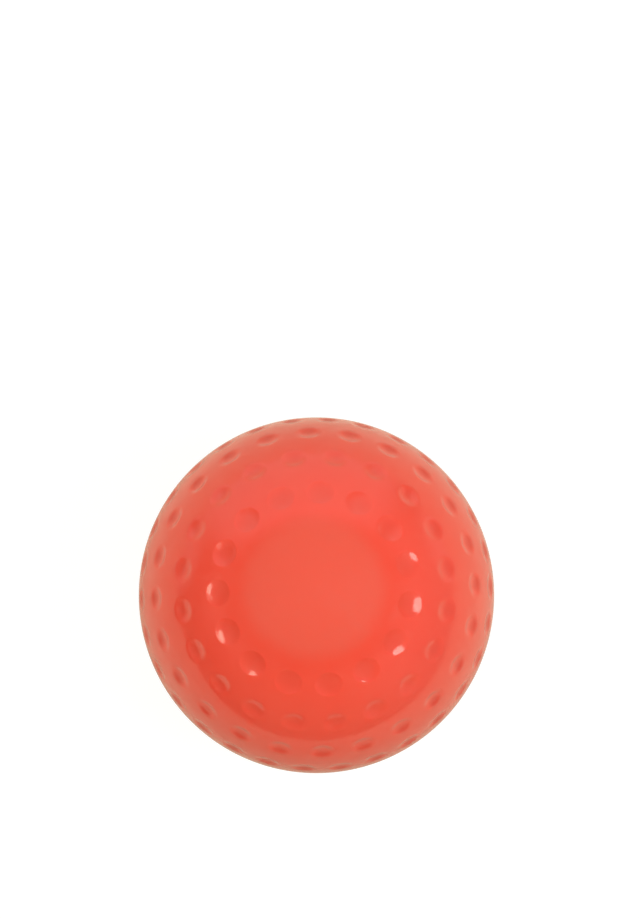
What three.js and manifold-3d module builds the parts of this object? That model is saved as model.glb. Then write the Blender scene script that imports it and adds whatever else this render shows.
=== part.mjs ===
// A dimpled field hockey ball, in millimetres, with +Z up.
// The origin is the middle of the ball. +Z leaves through the smooth panel of the upper half cover, and the
// seam between the two half covers lies in the plane Z = 0.
// Each half cover is a thick cup moulded in the same dimpled cavity. The upper one has a lip that slides into the
// lower one around the core, and a weld in a V groove around the outside joins them.

import * as THREE from "three";
import { ConvexHull } from "three/addons/math/ConvexHull.js";
import { mergeVertices } from "three/addons/utils/BufferGeometryUtils.js";
import Module from "manifold-3d";

// Ball and core
const BALL_DIAMETER = 73;
const COVER_WALL = 6;
const FIT_GAP = 0.3; // around the core, and between the lip and its recess

// Dimples, in rings around the pole of each half cover, with angles in degrees counted from that pole
const DIMPLE_DIAMETER = 5.9;
const DIMPLE_DEPTH = 0.4;
const FIRST_RING_ANGLE = 31; // leaves the smooth panel in the middle
const RING_STEP_ANGLE = 14.75;
const RINGS = [
  { dimples: 15, startAngle: 14.5 },
  { dimples: 20, startAngle: 9 },
  { dimples: 24, startAngle: 2.5 },
  { dimples: 30, startAngle: 2 },
];

// Seam
const LIP_WALL = 2.6;
const LIP_HEIGHT = 2.5;
const GROOVE_WIDTH = 1.6;
const GROOVE_DEPTH = 0.9;
const WELD_GAP = 0.1; // between the weld and each side of its groove

// Fineness of the facets
const DIMPLE_RIM_POINTS = 12;
const DIMPLE_FLOOR_POINTS = 6;
const DIMPLE_FLOOR_PLACE = 0.55; // of the way from the middle of a dimple to its rim
const PANEL_ROWS = 3;
const PANEL_POINTS_PER_ROW = 6; // more in each row outwards
const EQUATOR_POINTS = 72;
const TURNED_SEGMENTS = 48;
const SPHERE_ROWS = 20;
const CUT_MARGIN = 1; // how far a cutter runs past the surface that it cuts

// Sizes that follow
const BALL_RADIUS = BALL_DIAMETER / 2;
const CAVITY_RADIUS = BALL_RADIUS - COVER_WALL;
const CORE_RADIUS = CAVITY_RADIUS - FIT_GAP;
const LIP_RADIUS = CAVITY_RADIUS + LIP_WALL;
const RECESS_RADIUS = LIP_RADIUS + FIT_GAP;
const RECESS_HEIGHT = LIP_HEIGHT + FIT_GAP;
const RIGHT_ANGLE = Math.PI / 2;
const DIMPLE_REACH = DIMPLE_DIAMETER / 2 / BALL_RADIUS; // half a dimple, as an angle at the ball's middle

const wasm = await Module();
wasm.setup();

// Directions from the middle of the ball

function direction(fromPole, turn) {
  const flat = Math.sin(fromPole);
  return new THREE.Vector3(flat * Math.cos(turn), flat * Math.sin(turn), Math.cos(fromPole));
}

function ringAngle(ring) {
  return THREE.MathUtils.degToRad(FIRST_RING_ANGLE + ring * RING_STEP_ANGLE);
}

function rowOfDirections(fromPole, count, startTurn) {
  return Array.from({ length: count }, (_, i) => direction(fromPole, startTurn + (i / count) * 2 * Math.PI));
}

function dimpleCentres() {
  return RINGS.flatMap(({ dimples, startAngle }, ring) =>
    rowOfDirections(ringAngle(ring), dimples, THREE.MathUtils.degToRad(startAngle)),
  );
}

// A ring of directions at one distance around the centre of a dimple
function ringAround(centre, distance, count, startTurn) {
  const alongRing = new THREE.Vector3(0, 0, 1).cross(centre).normalize();
  const towardsPole = centre.clone().cross(alongRing);
  return Array.from({ length: count }, (_, i) => {
    const turn = startTurn + (i / count) * 2 * Math.PI;
    return centre
      .clone()
      .multiplyScalar(Math.cos(distance))
      .addScaledVector(alongRing, Math.sin(distance) * Math.cos(turn))
      .addScaledVector(towardsPole, Math.sin(distance) * Math.sin(turn));
  });
}

function dimpleDirections(centre) {
  const halfStep = Math.PI / DIMPLE_RIM_POINTS;
  return [
    centre,
    ...ringAround(centre, DIMPLE_REACH * DIMPLE_FLOOR_PLACE, DIMPLE_FLOOR_POINTS, halfStep),
    ...ringAround(centre, DIMPLE_REACH, DIMPLE_RIM_POINTS, 0),
  ];
}

function panelDirections() {
  const edge = ringAngle(0) - DIMPLE_REACH;
  const rows = [direction(0, 0)];
  for (let row = 1; row <= PANEL_ROWS; row += 1) {
    rows.push(...rowOfDirections((edge * row) / (PANEL_ROWS + 1), PANEL_POINTS_PER_ROW * row, 0));
  }
  return rows;
}

// Plain rows halfway between the dimple rings, then the smooth band that ends at the equator
function bandDirections() {
  const rows = [];
  for (let ring = 1; ring < RINGS.length; ring += 1) {
    const between = (ringAngle(ring - 1) + ringAngle(ring)) / 2;
    rows.push(...rowOfDirections(between, RINGS[ring].dimples, 0));
  }
  const lastEdge = ringAngle(RINGS.length - 1) + DIMPLE_REACH;
  const besideGroove = RIGHT_ANGLE - GROOVE_WIDTH / BALL_RADIUS;
  rows.push(...rowOfDirections((lastEdge + besideGroove) / 2, EQUATOR_POINTS / 2, 0));
  rows.push(...rowOfDirections(besideGroove, EQUATOR_POINTS, 0));
  rows.push(...rowOfDirections(RIGHT_ANGLE, EQUATOR_POINTS, 0));
  return rows;
}

// Solids

function solidOf(geometry) {
  const bare = geometry.clone();
  bare.deleteAttribute("normal");
  bare.deleteAttribute("uv");
  const merged = mergeVertices(bare);
  const mesh = new wasm.Mesh({
    numProp: 3,
    vertProperties: merged.attributes.position.array,
    triVerts: Uint32Array.from(merged.index.array),
  });
  return new wasm.Manifold(mesh);
}

function geometryOf(solid) {
  const { vertProperties, triVerts } = solid.getMesh();
  const geometry = new THREE.BufferGeometry();
  geometry.setAttribute("position", new THREE.BufferAttribute(vertProperties, 3));
  geometry.setIndex(new THREE.BufferAttribute(triVerts, 1));
  geometry.computeVertexNormals();
  return geometry;
}

// Half a ball on the plane Z = 0, with every dimple sunk as a shallow dish
function dimpledHalf() {
  const centres = dimpleCentres();
  const skinPoint = (way) => {
    const nearest = Math.min(...centres.map((centre) => way.angleTo(centre)));
    const place = Math.min(nearest / DIMPLE_REACH, 1);
    return way.clone().multiplyScalar(BALL_RADIUS - DIMPLE_DEPTH * (1 - place * place));
  };
  const ways = [...panelDirections(), ...centres.flatMap(dimpleDirections), ...bandDirections()];
  const corners = [];
  for (const face of new ConvexHull().setFromPoints(ways).faces) {
    corners.push(...[0, 1, 2].map((corner) => skinPoint(face.getEdge(corner).head().point)));
  }
  return solidOf(new THREE.BufferGeometry().setFromPoints(corners));
}

function ball(radius) {
  return new THREE.SphereGeometry(radius, TURNED_SEGMENTS, SPHERE_ROWS).rotateX(RIGHT_ANGLE);
}

// A disc around Z between two heights
function disc(radius, low, high) {
  return new THREE.CylinderGeometry(radius, radius, high - low, TURNED_SEGMENTS)
    .rotateX(RIGHT_ANGLE)
    .translate(0, 0, (low + high) / 2);
}

// A ring around Z, from a section of [radius, height] points that run counter-clockwise and close on themselves
function turnedRing(section) {
  const loop = [...section, section[0]].map(([radius, height]) => new THREE.Vector2(radius, height));
  return new THREE.LatheGeometry(loop, EQUATOR_POINTS).rotateX(RIGHT_ANGLE);
}

// The V groove around the seam, as a cutter that runs past the skin
function grooveCutter() {
  const reach = GROOVE_DEPTH + CUT_MARGIN;
  const rise = (GROOVE_WIDTH / 2 / GROOVE_DEPTH) * reach;
  const bottom = BALL_RADIUS - GROOVE_DEPTH;
  return turnedRing([
    [bottom, 0],
    [bottom + reach, -rise],
    [bottom + reach, rise],
  ]);
}

// The weld fills the groove and is trimmed to the round of the ball
function weldRing() {
  const halfWidth = GROOVE_WIDTH / 2;
  const slope = Math.atan2(halfWidth, GROOVE_DEPTH);
  const bottom = BALL_RADIUS - GROOVE_DEPTH + WELD_GAP / Math.sin(slope);
  const edge = halfWidth - WELD_GAP / Math.cos(slope);
  const edgeRadius = Math.sqrt(BALL_RADIUS ** 2 - edge ** 2);
  return turnedRing([
    [bottom, 0],
    [edgeRadius, -edge],
    [BALL_RADIUS, 0],
    [edgeRadius, edge],
  ]);
}

function upperCover(half, cavity, groove) {
  const lip = solidOf(disc(LIP_RADIUS, -LIP_HEIGHT, LIP_HEIGHT));
  return half.add(lip).subtract(cavity).subtract(groove);
}

function lowerCover(half, cavity, groove) {
  const recess = solidOf(disc(RECESS_RADIUS, -CUT_MARGIN, RECESS_HEIGHT));
  return half.subtract(recess).subtract(cavity).subtract(groove);
}

// Assembly

function piece(name, geometry, color, roughness) {
  const material = new THREE.MeshStandardMaterial({ color, roughness, metalness: 0 });
  const mesh = new THREE.Mesh(geometry, material);
  mesh.name = name;
  return mesh;
}

function hockeyBall() {
  const half = dimpledHalf();
  const cavity = solidOf(ball(CAVITY_RADIUS));
  const groove = solidOf(grooveCutter());
  const upper = piece("upper_cover", geometryOf(upperCover(half, cavity, groove)), "#f05545", 0.3);
  const lower = piece("lower_cover", geometryOf(lowerCover(half, cavity, groove)), "#f05545", 0.3);
  lower.rotation.x = Math.PI;
  const weld = piece("seam_weld", weldRing(), "#e34c3c", 0.5);
  const core = piece("cork_core", ball(CORE_RADIUS), "#a87a4f", 0.9);
  const group = new THREE.Group();
  group.add(upper, lower, weld, core);
  return group;
}

export default hockeyBall();
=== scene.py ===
import math

import bmesh
import bpy
from mathutils import Matrix, Vector, noise
from mathutils.geometry import delaunay_2d_cdt


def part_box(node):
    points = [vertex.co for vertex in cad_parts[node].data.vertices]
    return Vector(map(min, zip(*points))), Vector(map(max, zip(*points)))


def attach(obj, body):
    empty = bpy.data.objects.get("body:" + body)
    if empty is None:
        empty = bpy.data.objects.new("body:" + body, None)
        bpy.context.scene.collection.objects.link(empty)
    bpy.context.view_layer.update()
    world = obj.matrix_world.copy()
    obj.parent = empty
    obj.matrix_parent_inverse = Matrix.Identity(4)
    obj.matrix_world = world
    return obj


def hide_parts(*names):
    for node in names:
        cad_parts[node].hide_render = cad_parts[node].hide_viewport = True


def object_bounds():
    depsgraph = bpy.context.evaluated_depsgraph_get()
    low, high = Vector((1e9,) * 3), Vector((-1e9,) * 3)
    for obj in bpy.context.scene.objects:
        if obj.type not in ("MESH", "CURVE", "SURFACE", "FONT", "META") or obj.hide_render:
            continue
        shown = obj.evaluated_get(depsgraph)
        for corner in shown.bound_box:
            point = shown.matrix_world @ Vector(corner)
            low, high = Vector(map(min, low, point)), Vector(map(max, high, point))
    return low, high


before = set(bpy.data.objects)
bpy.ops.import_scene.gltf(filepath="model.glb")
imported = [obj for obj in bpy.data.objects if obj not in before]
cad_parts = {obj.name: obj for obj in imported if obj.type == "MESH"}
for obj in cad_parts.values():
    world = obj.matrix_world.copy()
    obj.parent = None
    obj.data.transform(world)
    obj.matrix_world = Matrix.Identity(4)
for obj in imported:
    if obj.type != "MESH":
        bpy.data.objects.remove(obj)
cad_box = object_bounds()

# A dimpled field hockey ball that lies on white paper and is seen from above. The origin is the middle of
# the ball, +Z leaves through the smooth panel that faces the camera, +Y is up in the photograph, and the
# seam lies in the plane Z = 0. Sizes are in metres, and angles in the constants are in degrees.
MM = 0.001

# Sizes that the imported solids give
BALL_RADIUS = (cad_box[1].x - cad_box[0].x) / 2
FLOOR_HEIGHT = cad_box[0].z
CORE_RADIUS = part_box("cork_core")[1].x
LIP_HEIGHT = -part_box("upper_cover")[0].z
SEAM_WIDTH = 2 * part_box("seam_weld")[1].z

# Half covers: a lip of the upper one slides into a recess of the lower one, around the core
FIT_GAP = 0.3 * MM
LIP_WALL = 2.6 * MM
CAVITY_RADIUS = CORE_RADIUS + FIT_GAP
LIP_RADIUS = CAVITY_RADIUS + LIP_WALL
CAVITY_STEPS = 24

# Seam: the weld fills a V groove, flush with the skin, and a fine valley runs along each of its edges
SEAM_DEPTH = 0.9 * MM
SEAM_SEGMENTS = 360
WELD_ROWS = 25
WELD_VALLEY = 0.04 * MM
WELD_VALLEY_PLACE = 0.8  # of the way from the middle of the weld to its edge

# Dimples. A cut is its depth, the width of its rounded lip, and the power by which its slope grows up to
# the lip.
DIMPLE_RADIUS = 2.95 * MM
CRISP_CUT = (0.45 * MM, 0.5 * MM, 1.5)
SOFT_CUT = (0.48 * MM, 1.2 * MM, 1.1)
DIMPLE_SEGMENTS = 40
BOWL_STEPS = 8
LIP_STEPS = 4

# Rings of dimples around the pole of each half: how many there are, where the ring starts, their cut and
# their spot of painted shade. A spot is how dark it gets, how far it lies outwards from the dimple's middle,
# and its radius, the last two as shares of the dimple's radius.
FIRST_RING_ANGLE = 31
RING_STEP_ANGLE = 14.75
RINGS = (
    (15, 14.5, CRISP_CUT, (0.14, 0.2, 0.9)),
    (20, 9, SOFT_CUT, (0.18, 0.5, 0.7)),
    (24, 2.5, SOFT_CUT, (0.4, 0.55, 0.65)),
    (30, 2, SOFT_CUT, (0.65, 0.55, 0.7)),
)

# Plain skin between the dimples
LAND_SPACING = 0.75 * MM
LAND_CLEARANCE = 0.4 * MM
GOLDEN_ANGLE = math.pi * (3 - math.sqrt(5))
MERGE_DISTANCE = 1e-9  # on the flattened skin, where the seam's radius is about 1

# Core of pressed cork granules
CORE_SUBDIVISIONS = 7
GRANULE_SIZE = 3.4 * MM
GRANULE_GROOVE = 0.3 * MM
GROOVE_SHARE = 0.16  # of a granule's size, from the middle of a groove to its edge
TONE_STEP = 7.31  # spreads the tones of neighbouring granules

# Cover plastic. An edge is the angles from the middle of a patch where it starts to fade and where it ends.
COVER_RED = (0.89, 0.0765, 0.0445, 1)
COVER_DEEP = (0.88, 0.071, 0.04, 1)
# The red of the painted shade at the darkest part of a dimple's outer wall
DIMPLE_SHADE_RED = (0.62, 0.0535, 0.031, 1)
SATIN_RED = (0.83, 0.076, 0.044, 1)
PANEL_RED = (0.80, 0.103, 0.067, 1)
MOTTLE_SIZE = 14 * MM
MOTTLE_LIMITS = (0.35, 0.65)
PANEL_EDGE = (17.5, 25.0)
SATIN_EDGE = (20.0, 28.0)
SATIN_WIDENING = 1.25  # the satin patch is wider along X than along Y
SATIN_DROP = 3.0  # and its middle lies off the pole, towards -Y
SATIN_PATCH_SIZE = 5 * MM
SATIN_PATCH_LIMITS = (0.3, 0.7)
SATIN_ROUGHNESS = (0.55, 0.65)
SATIN_SHINE = 0.2
GLOSS_ROUGHNESS = 0.12
PEEL_SIZE = 2.2 * MM
PEEL_HEIGHT = 0.006 * MM
GLOW_THROUGH = 0.6  # the share of the light that spreads inside the plastic
GLOW_THROUGH_DEPTH = 3 * MM
GLOW_THROUGH_COLOUR = (1.0, 0.35, 0.25)

# Weld plastic
WELD_RED = (0.87, 0.073, 0.043, 1)
WELD_WORN = (0.83, 0.08, 0.05, 1)
WEAR_SIZE = 6 * MM
WEAR_LIMITS = (0.4, 0.7)
MARK_SIZE = 0.12 * MM
MARK_STRETCH = (0.05, 0.05, 1)  # draws the marks out along the seam
MARK_LIMITS = (0.3, 0.7)
MARK_HEIGHT = 0.008 * MM
WELD_ROUGHNESS = (0.38, 0.56)

# Cork
CORK_PALE = (0.52, 0.29, 0.125, 1)
CORK_DARK = (0.27, 0.115, 0.042, 1)
BINDER = (0.07, 0.04, 0.026, 1)
TONE_LIMITS = (0.2, 0.8)
GRAIN_SIZE = 0.9 * MM
GRAIN_HEIGHT = 0.08 * MM
PORE_SIZE = 0.35 * MM
PORE_LIMITS = (0.62, 0.7)
BINDER_LIMITS = (0.45, 0.85)
DULL_LIMITS = (0.4, 0.9)
CORK_TO_BINDER_ROUGHNESS = (0.92, 0.6)

# Photograph and camera
PHOTO_WIDTH = 639
PHOTO_HEIGHT = 919
BALL_PIXEL = (316.5, 594.6)
BALL_RADIUS_PIXELS = 177.45
LENS_MM = 100
SENSOR_MM = 36
CLIP_START = 0.01
POLE_LEAN = 2.28
POLE_LEAN_TURN = 110.3

# Paper under the ball. A fade is the distances, in ball radii, where it starts and where it ends.
FLOOR_CORNERS = ((-0.4, -0.2), (0.1, -0.2), (0.45, 0.0), (0.45, 0.4), (-0.4, 0.4))
FLOOR_FAR = (0.765, 0.71, 0.59, 1)
# A painted shadow: the paper is darker around a place beside the ball, towards -Y
FLOOR_PAINTED_SHADOW = (0.54, 0.49, 0.395, 1)
PAINTED_SHADOW_FADE = (0.5, 3.6)
PAINTED_SHADOW_MIDDLE = (0.0, -2.3)  # in ball radii
FLOOR_SEEN = (0.25, 0.25, 0.25, 1)
FLOOR_GLOW = 0.83
FLOOR_ROUGHNESS = 0.9
# A painted glow: the paper shines a little under the ball and lights its underside
UNDER_FADE = (0.2, 1.0)
UNDER_GLOW = 0.1
WHITE = (1, 1, 1, 1)

# Softboxes: name, angle from +Z, turn about Z from +X, width and height, colour, radiance
LAMP_DISTANCE = 0.6
LAMPS = (
    ("right_softbox", 40, -10, (0.28, 0.32), (1.0, 0.97, 0.9), 6.7),
    ("left_softbox", 40, 198, (0.18, 0.31), (1.0, 0.95, 0.76), 6.15),
)

# Room around the ball, and the pale walls and cards in it: name, turn about Z from +X, height above the
# plane of the seam, angles from its middle where it starts to fade and where it ends, radiance
ROOM_COLOUR = (0.125, 0.12, 0.085)
GLOWS = (
    ("front", 0, 90, 10, 24, (1.55, 1.55, 1.55)),
    ("backdrop", 99, 15, 36, 60, (0.77, 0.77, 0.74)),
    ("ground_right", 24, -9, 6, 20, (0.5, 0.49, 0.45)),
    ("ground_left", 163, -9, 6, 20, (0.5, 0.49, 0.45)),
    ("right_wall", -10, 20, 20, 65, (0.3, 0.3, 0.29)),
    ("near_side", 275, 25, 15, 60, (0.31, 0.285, 0.19)),
    ("left_high", 195, 45, 10, 42, (0.36, 0.345, 0.28)),
    ("left_card", 167, 45, 3, 8, (2.0, 1.9, 1.5)),
)


def direction(from_pole, turn):
    """The unit vector at an angle from +Z, turned about Z from +X, both in radians."""
    flat = math.sin(from_pole)
    return Vector((flat * math.cos(turn), flat * math.sin(turn), math.cos(from_pole)))


def linked(name, data):
    """A new object in the scene."""
    made = bpy.data.objects.new(name, data)
    bpy.context.scene.collection.objects.link(made)
    return made


# Dimpled skin

def dimple_places():
    """The direction of every dimple of a half, with its cut and its spot of painted shade."""
    places = []
    for ring, (count, start, cut, spot) in enumerate(RINGS):
        from_pole = math.radians(FIRST_RING_ANGLE + ring * RING_STEP_ANGLE)
        for i in range(count):
            centre = direction(from_pole, math.radians(start + 360 * i / count))
            places.append((centre, cut, spot))
    return places


def dimple_shape(distance, cut):
    """How deep the skin lies at a distance from a dimple's middle, and how steeply it rises outwards."""
    depth, lip, power = cut
    bowl = DIMPLE_RADIUS - lip
    steepest = depth / (bowl / (power + 1) + lip / 2)
    if distance >= bowl:
        left = DIMPLE_RADIUS - distance
        return steepest * left * left / (2 * lip), steepest * left / lip
    share = (distance / bowl) ** power
    return depth - steepest * distance * share / (power + 1), steepest * share


def painted_dimple_shade(distance, turn, spot):
    """How strong a dimple's painted shade is at a distance from its middle, from 0 to 1."""
    darkness, place, radius = spot
    share = distance / DIMPLE_RADIUS
    away = math.hypot(share * math.cos(turn), share * math.sin(turn) + place) / radius
    return darkness * max(1 - away * away, 0)


def dimple_rows(lip):
    """Distances of a dimple's rings of points, from its edge to just short of its middle."""
    rounded = [DIMPLE_RADIUS - lip * i / LIP_STEPS for i in range(LIP_STEPS)]
    return rounded + [(DIMPLE_RADIUS - lip) * (1 - i / BOWL_STEPS) for i in range(BOWL_STEPS)]


def flattened(way):
    """A direction as a point of the plane. Circles on the ball stay circles there."""
    return Vector((way.x, way.y)) / (1 + way.z)


def land_directions(centres, seam_angle):
    """Evenly spread directions on the plain skin between the dimples, on a spiral from the pole."""
    area_each = LAND_SPACING * LAND_SPACING / (BALL_RADIUS * BALL_RADIUS)
    rise = 1 - math.cos(seam_angle)
    count = int(2 * math.pi * rise / area_each)
    clear = math.cos((DIMPLE_RADIUS + LAND_CLEARANCE) / BALL_RADIUS)
    edge = math.cos(seam_angle - LAND_CLEARANCE / BALL_RADIUS)
    ways = []
    for i in range(count):
        up = 1 - rise * (i + 0.5) / count
        way = direction(math.acos(up), GOLDEN_ANGLE * i)
        if up > edge and all(way.dot(centre) < clear for centre in centres):
            ways.append(way)
    return ways


class Shell:
    """Points, faces, skin normals and painted dimple shades of one closed mesh."""

    def __init__(self):
        self.points = []
        self.faces = []
        self.normals = {}
        self.shades = []

    def add(self, point, normal=None, shade=0.0):
        """Adds a point and returns its number."""
        index = len(self.points)
        self.points.append(point)
        self.shades.append(shade)
        if normal is not None:
            self.normals[index] = normal
        return index

    def band(self, outer, inner):
        """Joins two loops with as many points."""
        for i in range(len(outer)):
            j = (i + 1) % len(outer)
            self.faces.append((outer[i], outer[j], inner[j], inner[i]))

    def fan(self, loop, middle):
        """Joins a loop to one point in its middle."""
        for i in range(len(loop)):
            self.faces.append((loop[i], loop[(i + 1) % len(loop)], middle))


def add_dimple(shell, centre, cut, spot):
    """Adds one dimple's points and faces and returns its outer loop."""
    depth, lip, _ = cut
    along = Vector((0, 0, 1)).cross(centre).normalized()
    poleward = centre.cross(along)
    loops = []
    for distance in dimple_rows(lip):
        sunk, rise = dimple_shape(distance, cut)
        angle = distance / BALL_RADIUS
        loop = []
        for i in range(DIMPLE_SEGMENTS):
            turn = 2 * math.pi * i / DIMPLE_SEGMENTS
            side = along * math.cos(turn) + poleward * math.sin(turn)
            way = centre * math.cos(angle) + side * math.sin(angle)
            outwards = side * math.cos(angle) - centre * math.sin(angle)
            normal = (way - outwards * rise).normalized()
            shade = painted_dimple_shade(distance, turn, spot)
            loop.append(shell.add(way * (BALL_RADIUS - sunk), normal, shade))
        loops.append(loop)
    for outer, inner in zip(loops, loops[1:]):
        shell.band(outer, inner)
    middle = shell.add(centre * (BALL_RADIUS - depth), centre.copy(), painted_dimple_shade(0, 0, spot))
    shell.fan(loops[-1], middle)
    return loops[0]


def dimpled_skin(shell):
    """Adds the outer skin of a half cover, pole up, and returns its loop of points at the seam."""
    places = dimple_places()
    centres = [centre for centre, _, _ in places]
    seam_angle = math.acos(SEAM_WIDTH / 2 / BALL_RADIUS)
    loops = [add_dimple(shell, *place) for place in places]
    seam = []
    for i in range(SEAM_SEGMENTS):
        way = direction(seam_angle, 2 * math.pi * i / SEAM_SEGMENTS)
        seam.append(shell.add(way * BALL_RADIUS, way))
    plain = [shell.add(way * BALL_RADIUS, way) for way in land_directions(centres, seam_angle)]
    used = [index for loop in loops + [seam] for index in loop] + plain
    ways = [shell.points[index].normalized() for index in used]
    order = {index: i for i, index in enumerate(used)}
    edges = []
    for loop in loops + [seam]:
        edges += [(order[a], order[b]) for a, b in zip(loop, loop[1:] + loop[:1])]
    flat = [flattened(way) for way in ways]
    triangles = delaunay_2d_cdt(flat, edges, [], 0, MERGE_DISTANCE, False)[2]
    inside = math.cos(DIMPLE_RADIUS / BALL_RADIUS)
    for corners in triangles:
        middle = sum((ways[i] for i in corners), Vector()).normalized()
        if all(middle.dot(centre) < inside for centre in centres):
            shell.faces.append(tuple(used[i] for i in corners))
    return seam


# Half covers, weld and core

def rim_profile(lipped):
    """Radius and height of the points from the seam's groove to just short of the pole of the cavity."""
    lip = LIP_RADIUS if lipped else LIP_RADIUS + FIT_GAP
    height = -LIP_HEIGHT if lipped else LIP_HEIGHT + FIT_GAP
    start = math.acos(height / CAVITY_RADIUS)
    rows = [(BALL_RADIUS - SEAM_DEPTH, 0), (lip, 0), (lip, height)]
    for i in range(CAVITY_STEPS):
        angle = start * (1 - i / CAVITY_STEPS)
        rows.append((CAVITY_RADIUS * math.sin(angle), CAVITY_RADIUS * math.cos(angle)))
    return rows


def turned_row(shell, radius, height, facing=None):
    """A ring of points around Z. On the skin, facing is the normal as its parts outwards and upwards."""
    row = []
    for i in range(SEAM_SEGMENTS):
        out = direction(math.pi / 2, 2 * math.pi * i / SEAM_SEGMENTS)
        point = Vector((radius * out.x, radius * out.y, height))
        normal = None
        if facing is not None:
            normal = Vector((facing[0] * out.x, facing[0] * out.y, facing[1])).normalized()
        row.append(shell.add(point, normal))
    return row


def keep_values(mesh, name, values):
    """Keeps one number for each point of a mesh, for its material to read."""
    mesh.attributes.new(name, "FLOAT", "POINT").data.foreach_set("value", values)


def object_from(shell, name, turn=None):
    """A closed mesh object. Skin faces get their exact normals, and the rest are left flat."""
    mesh = bpy.data.meshes.new(name)
    mesh.from_pydata(shell.points, [], shell.faces)
    corner_normals = []
    for face in mesh.polygons:
        on_skin = all(v in shell.normals for v in face.vertices)
        face.use_smooth = on_skin
        for v in face.vertices:
            corner_normals.append(shell.normals[v] if on_skin else face.normal)
    mesh.normals_split_custom_set(corner_normals)
    keep_values(mesh, "painted_dimple_shade", shell.shades)
    if turn is not None:
        mesh.transform(turn)
    return linked(name, mesh)


def half_cover(name, lipped, turn=None):
    """A half cover with its dimples, and the lip or the recess and the cavity inside."""
    shell = Shell()
    loop = dimpled_skin(shell)
    for radius, height in rim_profile(lipped):
        row = turned_row(shell, radius, height)
        shell.band(row, loop)
        loop = row
    shell.fan(loop[::-1], shell.add(Vector((0, 0, CAVITY_RADIUS))))
    return object_from(shell, name, turn)


def weld_profile():
    """Radius and height of the weld's outer face, from its lower edge to its upper edge."""
    points = []
    for row in range(WELD_ROWS):
        place = 2 * row / (WELD_ROWS - 1) - 1
        height = place * SEAM_WIDTH / 2
        off_valley = (abs(place) - WELD_VALLEY_PLACE) / (1 - WELD_VALLEY_PLACE)
        valley = WELD_VALLEY * max(1 - off_valley ** 2, 0) ** 2
        points.append((math.sqrt(BALL_RADIUS ** 2 - height ** 2) - valley, height))
    return points


def weld_ring(name):
    """The weld, turned from its profile down to the bottom of the groove."""
    shell = Shell()
    profile = weld_profile()
    rows = []
    for i, (radius, height) in enumerate(profile):
        before = profile[max(i - 1, 0)]
        after = profile[min(i + 1, WELD_ROWS - 1)]
        facing = (after[1] - before[1], before[0] - after[0])
        rows.append(turned_row(shell, radius, height, facing))
    rows.append(turned_row(shell, BALL_RADIUS - SEAM_DEPTH, 0))
    for low, high in zip(rows, rows[1:] + rows[:1]):
        shell.band(low, high)
    return object_from(shell, name)


def cork_ball(name):
    """A ball of granules with a groove around each. Every point keeps its granule's tone and its groove."""
    ball = bmesh.new()
    bmesh.ops.create_icosphere(ball, subdivisions=CORE_SUBDIVISIONS, radius=CORE_RADIUS)
    tones = []
    grooves = []
    for vertex in ball.verts:
        distances, middles = noise.voronoi(vertex.co / GRANULE_SIZE)
        groove = max(1 - (distances[1] - distances[0]) / (2 * GROOVE_SHARE), 0)
        vertex.co *= 1 - GRANULE_GROOVE * groove / CORE_RADIUS
        tones.append(0.5 + 0.5 * noise.noise(middles[0] * TONE_STEP))
        grooves.append(groove)
    mesh = bpy.data.meshes.new(name)
    ball.to_mesh(mesh)
    ball.free()
    mesh.shade_smooth()
    keep_values(mesh, "granule_tone", tones)
    keep_values(mesh, "granule_groove", grooves)
    return linked(name, mesh)


# Shader nodes

def feed(tree, made, inputs):
    """Sets a node's inputs. Each is a constant or an output socket of another node."""
    for key, value in inputs.items():
        if isinstance(value, bpy.types.NodeSocket):
            tree.links.new(value, made.inputs[key])
        else:
            made.inputs[key].default_value = value


def node(tree, kind, inputs=None, **settings):
    """A shader node with its settings and inputs."""
    made = tree.nodes.new(kind)
    for name, value in settings.items():
        setattr(made, name, value)
    feed(tree, made, inputs or {})
    return made


def calculated(tree, operation, *numbers):
    """The result of an operation on one or two numbers."""
    return node(tree, "ShaderNodeMath", dict(enumerate(numbers)), operation=operation).outputs["Value"]


def vector_math(tree, operation, *vectors):
    """The outputs of an operation on vectors."""
    return node(tree, "ShaderNodeVectorMath", dict(enumerate(vectors)), operation=operation).outputs


def mapped(tree, value, low, high, to_low=0.0, to_high=1.0):
    """A value between two limits, brought smoothly to two other limits."""
    made = node(
        tree,
        "ShaderNodeMapRange",
        {"Value": value, "From Min": low, "From Max": high, "To Min": to_low, "To Max": to_high},
        interpolation_type="SMOOTHSTEP",
    )
    return made.outputs["Result"]


def noise_field(tree, place, cell, detail=2.0):
    """Soft noise with bumps about as wide as cell, from 0 to 1."""
    made = node(tree, "ShaderNodeTexNoise", {"Vector": place, "Scale": 1 / cell, "Detail": detail})
    return made.outputs["Fac"]


def blended(tree, share, first, second):
    """A colour from the first at a share of 0 to the second at a share of 1."""
    made = node(tree, "ShaderNodeMix", data_type="RGBA")
    sockets = {socket.name: i for i, socket in enumerate(made.inputs) if socket.enabled}
    feed(tree, made, {sockets["Factor"]: share, sockets["A"]: first, sockets["B"]: second})
    return [socket for socket in made.outputs if socket.enabled][0]


def relief(tree, height, distance):
    """A bumpy normal, from heights of 0 to 1 that stand for a distance."""
    made = node(tree, "ShaderNodeBump", {"Height": height, "Strength": 1.0, "Distance": distance})
    return made.outputs["Normal"]


def kept_value(tree, name):
    """The number that each point of the mesh keeps under a name."""
    return node(tree, "ShaderNodeAttribute", attribute_name=name).outputs["Fac"]


def object_place(tree):
    """Where a point lies on its object, in metres."""
    return node(tree, "ShaderNodeTexCoord").outputs["Object"]


def seen_directly(tree):
    """1 for rays from the camera or through glass, and 0 for those that only bring light."""
    rays = node(tree, "ShaderNodeLightPath").outputs
    return calculated(tree, "MAXIMUM", rays["Is Camera Ray"], rays["Is Transmission Ray"])


def new_material(name):
    """A material with its node tree and its surface shader."""
    material = bpy.data.materials.new(name)
    material.use_nodes = True
    tree = material.node_tree
    return material, tree, tree.nodes["Principled BSDF"]


# Materials

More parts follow.
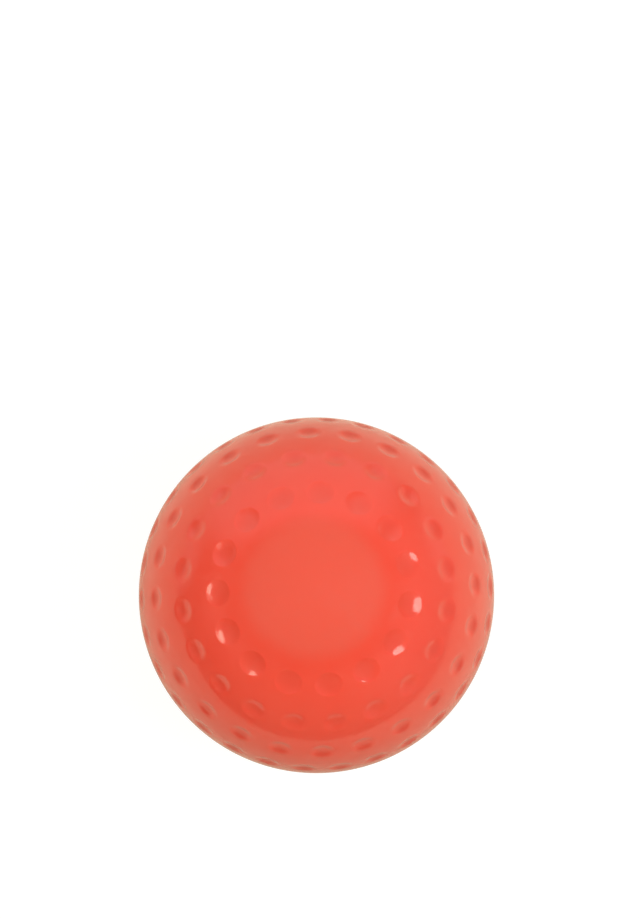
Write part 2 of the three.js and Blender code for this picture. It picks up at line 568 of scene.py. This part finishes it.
def patch_mask(tree, place, edge, widening=1.0, drop=0.0):
    """1 in a patch at both poles and 0 beyond, with a soft edge between two angles from its middle."""
    shift = (0, math.sin(math.radians(drop)), 0)
    way = vector_math(tree, "NORMALIZE", place)["Vector"]
    way = vector_math(tree, "MULTIPLY_ADD", way, (1 / widening, 1, 1), shift)["Vector"]
    way = vector_math(tree, "NORMALIZE", way)["Vector"]
    up = node(tree, "ShaderNodeSeparateXYZ", {"Vector": way}).outputs["Z"]
    inner, outer = (math.cos(math.radians(angle)) for angle in edge)
    return mapped(tree, calculated(tree, "ABSOLUTE", up), outer, inner)


def cover_plastic():
    """Glossy moulded plastic with a satin panel at each pole and painted shade in the dimples."""
    material, tree, surface = new_material("cover_plastic")
    place = object_place(tree)
    mottle = mapped(tree, noise_field(tree, place, MOTTLE_SIZE, detail=3.0), *MOTTLE_LIMITS)
    satin = patch_mask(tree, place, SATIN_EDGE, SATIN_WIDENING, SATIN_DROP)
    panel = patch_mask(tree, place, PANEL_EDGE)
    red = blended(tree, mottle, COVER_RED, COVER_DEEP)
    red = blended(tree, satin, red, SATIN_RED)
    red = blended(tree, panel, red, PANEL_RED)
    # Painted shade: the outer walls of the dimples are darkened, more so towards the seam
    red = blended(tree, kept_value(tree, "painted_dimple_shade"), red, DIMPLE_SHADE_RED)
    patches = noise_field(tree, place, SATIN_PATCH_SIZE)
    peel = relief(tree, noise_field(tree, place, PEEL_SIZE, detail=1.0), PEEL_HEIGHT)
    feed(tree, surface, {
        "Base Color": red,
        "Roughness": mapped(tree, patches, *SATIN_PATCH_LIMITS, *SATIN_ROUGHNESS),
        "Specular IOR Level": SATIN_SHINE,
        "Normal": peel,
        "Coat Weight": calculated(tree, "SUBTRACT", 1.0, satin),
        "Coat Roughness": GLOSS_ROUGHNESS,
        "Coat Normal": peel,
        "Subsurface Weight": GLOW_THROUGH,
        "Subsurface Radius": GLOW_THROUGH_COLOUR,
        "Subsurface Scale": GLOW_THROUGH_DEPTH,
    })
    return material


def weld_plastic():
    """The same plastic, melted and trimmed, with fine marks that run along the seam."""
    material, tree, surface = new_material("weld_plastic")
    place = object_place(tree)
    drawn_out = vector_math(tree, "MULTIPLY", place, MARK_STRETCH)["Vector"]
    marks = noise_field(tree, drawn_out, MARK_SIZE, detail=3.0)
    worn = mapped(tree, noise_field(tree, place, WEAR_SIZE), *WEAR_LIMITS)
    feed(tree, surface, {
        "Base Color": blended(tree, worn, WELD_RED, WELD_WORN),
        "Roughness": mapped(tree, marks, *MARK_LIMITS, *WELD_ROUGHNESS),
        "Normal": relief(tree, marks, MARK_HEIGHT),
    })
    return material


def cork():
    """Cork granules of many tones, with dark rubber in the grooves between them and fine pores."""
    material, tree, surface = new_material("cork")
    place = object_place(tree)
    groove = kept_value(tree, "granule_groove")
    grain = noise_field(tree, place, GRAIN_SIZE, detail=4.0)
    grain_shift = calculated(tree, "SUBTRACT", grain, 0.5)
    tone = calculated(tree, "ADD", kept_value(tree, "granule_tone"), grain_shift)
    brown = blended(tree, mapped(tree, tone, *TONE_LIMITS), CORK_PALE, CORK_DARK)
    pores = mapped(tree, noise_field(tree, place, PORE_SIZE), *PORE_LIMITS)
    dark = calculated(tree, "MAXIMUM", mapped(tree, groove, *BINDER_LIMITS), pores)
    feed(tree, surface, {
        "Base Color": blended(tree, dark, brown, BINDER),
        "Roughness": mapped(tree, groove, *DULL_LIMITS, *CORK_TO_BINDER_ROUGHNESS),
        "Normal": relief(tree, calculated(tree, "SUBTRACT", grain, pores), GRAIN_HEIGHT),
    })
    return material


# Studio

def view_axes(forward):
    """Right and up in a view along forward, with +Y up."""
    right = forward.cross(Vector((0, 1, 0))).normalized()
    return right, right.cross(forward)


def look(location, forward):
    """The matrix of a camera or lamp at location that looks along forward."""
    right, up = view_axes(forward)
    turn = Matrix((right, up, -forward)).transposed().to_4x4()
    return Matrix.Translation(location) @ turn


def photo_camera():
    """The camera of the photograph, which puts the ball where it lies there and as large."""
    focal = LENS_MM / SENSOR_MM * PHOTO_HEIGHT
    distance = BALL_RADIUS / math.sin(math.atan(BALL_RADIUS_PIXELS / focal))
    towards = direction(math.radians(POLE_LEAN), math.radians(POLE_LEAN_TURN + 180))
    right, up = view_axes(-towards)
    aim = -towards
    aim += right * (PHOTO_WIDTH / 2 - BALL_PIXEL[0]) / focal
    aim += up * (BALL_PIXEL[1] - PHOTO_HEIGHT / 2) / focal
    data = bpy.data.cameras.new("photo_camera")
    data.lens = LENS_MM
    data.sensor_width = SENSOR_MM
    data.clip_start = CLIP_START
    camera = linked("photo_camera", data)
    camera.matrix_world = look(towards * distance, aim.normalized())
    bpy.context.scene.camera = camera


def softbox(name, off_axis, turn, size, colour, radiance):
    """An oval lamp that faces the ball."""
    width, height = size
    data = bpy.data.lights.new(name, "AREA")
    data.shape = "ELLIPSE"
    data.size = width
    data.size_y = height
    data.color = colour
    data.energy = radiance * math.pi * (math.pi / 4 * width * height)
    towards = direction(math.radians(off_axis), math.radians(turn))
    linked(name, data).matrix_world = look(towards * LAMP_DISTANCE, -towards)


def floor_fade(tree, middle, fade, at_start, at_end):
    """A value on the floor that changes with the distance from a place, both in ball radii."""
    point = (middle[0] * BALL_RADIUS, middle[1] * BALL_RADIUS, FLOOR_HEIGHT)
    away = vector_math(tree, "DISTANCE", object_place(tree), point)["Value"]
    return mapped(tree, away, fade[0] * BALL_RADIUS, fade[1] * BALL_RADIUS, at_start, at_end)


def floor_material():
    """Cream paper with a painted shadow and a painted glow by the ball, clear from below. White to the
    camera but for a shadow.
    """
    material, tree, surface = new_material("white_floor")
    seen = seen_directly(tree)
    # Painted shadow of the ball on the paper, towards -Y
    paper = blended(tree, floor_fade(tree, PAINTED_SHADOW_MIDDLE, PAINTED_SHADOW_FADE, 0.0, 1.0), FLOOR_PAINTED_SHADOW, FLOOR_FAR)
    # Painted glow under the ball, which lights its underside
    under = floor_fade(tree, (0, 0), UNDER_FADE, UNDER_GLOW, 0.0)
    shine = calculated(tree, "MULTIPLY", seen, FLOOR_GLOW)
    feed(tree, surface, {
        "Base Color": blended(tree, seen, paper, FLOOR_SEEN),
        "Roughness": FLOOR_ROUGHNESS,
        "Emission Color": WHITE,
        "Emission Strength": calculated(tree, "MAXIMUM", shine, under),
    })
    below = node(tree, "ShaderNodeNewGeometry").outputs["Backfacing"]
    clear = node(tree, "ShaderNodeBsdfTransparent").outputs[0]
    sheet = node(tree, "ShaderNodeMixShader", {0: below, 1: surface.outputs[0], 2: clear}).outputs[0]
    feed(tree, tree.nodes["Material Output"], {"Surface": sheet})
    return material


def white_floor():
    """The sheet of paper that the ball lies on."""
    mesh = bpy.data.meshes.new("floor")
    corners = [(x, y, FLOOR_HEIGHT) for x, y in FLOOR_CORNERS]
    mesh.from_pydata(corners, [], [tuple(range(len(corners)))])
    mesh.materials.append(floor_material())
    linked("floor", mesh)


def studio_world():
    """A dim room with pale walls and cards around the ball, and white to the camera."""
    world = bpy.data.worlds.new("studio")
    bpy.context.scene.world = world
    world.use_nodes = True
    tree = world.node_tree
    tree.nodes.clear()
    way = node(tree, "ShaderNodeTexCoord").outputs["Generated"]
    colour = ROOM_COLOUR
    for _, turn, height, inner, outer, radiance in GLOWS:
        towards = direction(math.radians(90 - height), math.radians(turn))
        near = vector_math(tree, "DOT_PRODUCT", way, towards)["Value"]
        glow = mapped(tree, near, math.cos(math.radians(outer)), math.cos(math.radians(inner)))
        colour = vector_math(tree, "MULTIPLY_ADD", glow, radiance, colour)["Vector"]
    room = node(tree, "ShaderNodeBackground", {"Color": colour}).outputs[0]
    white = node(tree, "ShaderNodeBackground", {"Color": WHITE}).outputs[0]
    mixed = node(tree, "ShaderNodeMixShader", {0: seen_directly(tree), 1: room, 2: white}).outputs[0]
    node(tree, "ShaderNodeOutputWorld", {"Surface": mixed})


# Assembly

photo_camera()
white_floor()
studio_world()
for lamp_values in LAMPS:
    softbox(*lamp_values)
bpy.context.scene.view_settings.view_transform = "Standard"

cover_finish = cover_plastic()
half_turn = Matrix.Rotation(math.pi, 4, "X")
for piece, cad_node, slot, finish in (
    (half_cover("upper_skin", True), "upper_cover", "cover_plastic", cover_finish),
    (half_cover("lower_skin", False, half_turn), "lower_cover", "cover_plastic", cover_finish),
    (weld_ring("seam_line"), "seam_weld", "weld_plastic", weld_plastic()),
    (cork_ball("cork_ball"), "cork_core", "cork", cork()),
):
    piece.data.materials.append(finish)
    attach(piece, "root")
    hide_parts(cad_node)
